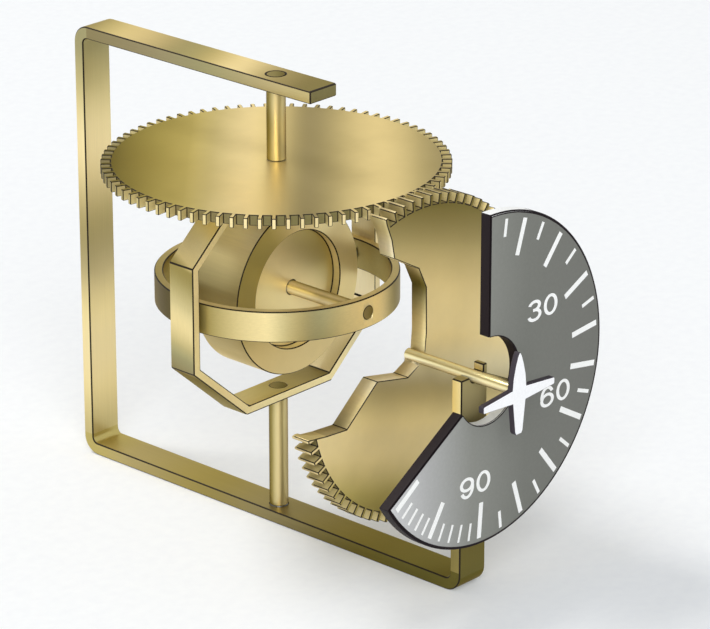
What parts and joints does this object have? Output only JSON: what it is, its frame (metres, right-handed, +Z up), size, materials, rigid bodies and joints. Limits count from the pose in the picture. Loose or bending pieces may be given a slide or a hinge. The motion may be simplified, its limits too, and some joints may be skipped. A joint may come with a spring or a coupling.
{
  "type": "directional gyro indicator",
  "caption": "Cut-away directional gyro: a rotor in a ring and an octagonal gimbal with a level gear, which drives an upright gear and a compass card on a bent bar frame.",
  "frame": {"origin": "centre of the azimuth axis on the underside of the frame's base", "axes": "+Z up along the azimuth axis, dial facing -Y, +X to the right when the dial is read"},
  "size_m": [0.0696, 0.1169, 0.0947],
  "materials": {
    "frame_brass": "satin",
    "gimbal_brass": "satin",
    "gear_brass": "satin",
    "rotor_brass": "turned satin",
    "shaft_brass": "polished",
    "bearing_steel": "ground",
    "dark_bearing": "blackened",
    "dial_black": "matt black",
    "dial_grey": "matt grey enamel",
    "white_enamel": "white enamel"
  },
  "bodies": {
    "frame": {"main_frame": "frame_brass", "lower_jewel": "bearing_steel", "aeroplane_symbol": "white_enamel"},
    "gimbal": {"outer_gimbal": "gimbal_brass", "level_gear": "gear_brass", "upper_shaft": "shaft_brass", "lower_shaft": "shaft_brass", "left_pivot_cup": "bearing_steel", "right_pivot_cup": "bearing_steel"},
    "ring": {"gimbal_ring": "gimbal_brass", "left_pivot": "bearing_steel", "right_pivot": "bearing_steel", "front_rotor_bearing": "dark_bearing", "rear_rotor_bearing": "dark_bearing"},
    "rotor": {"rotor_wheel": "rotor_brass", "rotor_shaft": "shaft_brass"},
    "card": {"card_gear": "gear_brass", "card_shaft": "shaft_brass", "card_arm": "shaft_brass", "dial_plate": "dial_black", "dial_face": "dial_grey", "inner_arm_rivet": "shaft_brass", "outer_arm_rivet": "shaft_brass"}
  },
  "joints": [
    {"name": "azimuth", "type": "hinge", "parent": "frame", "child": "gimbal", "pos_m": [0, 0, 0.0509], "axis": [0, 0, 1], "continuous": true},
    {"name": "ring_tilt", "type": "hinge", "parent": "gimbal", "child": "ring", "pos_m": [0, 0, 0.0509], "axis": [1, 0, 0], "range_deg": [-55, 55]},
    {"name": "rotor_spin", "type": "hinge", "parent": "ring", "child": "rotor", "pos_m": [0, 0, 0.0509], "axis": [0, 1, 0], "continuous": true},
    {"name": "card_turn", "type": "hinge", "parent": "frame", "child": "card", "pos_m": [0, 0, 0.0451], "axis": [0, 1, 0], "continuous": true}
  ],
  "couplings": [
    {"joint": "card_turn", "follows": "azimuth", "ratio": 1}
  ]
}
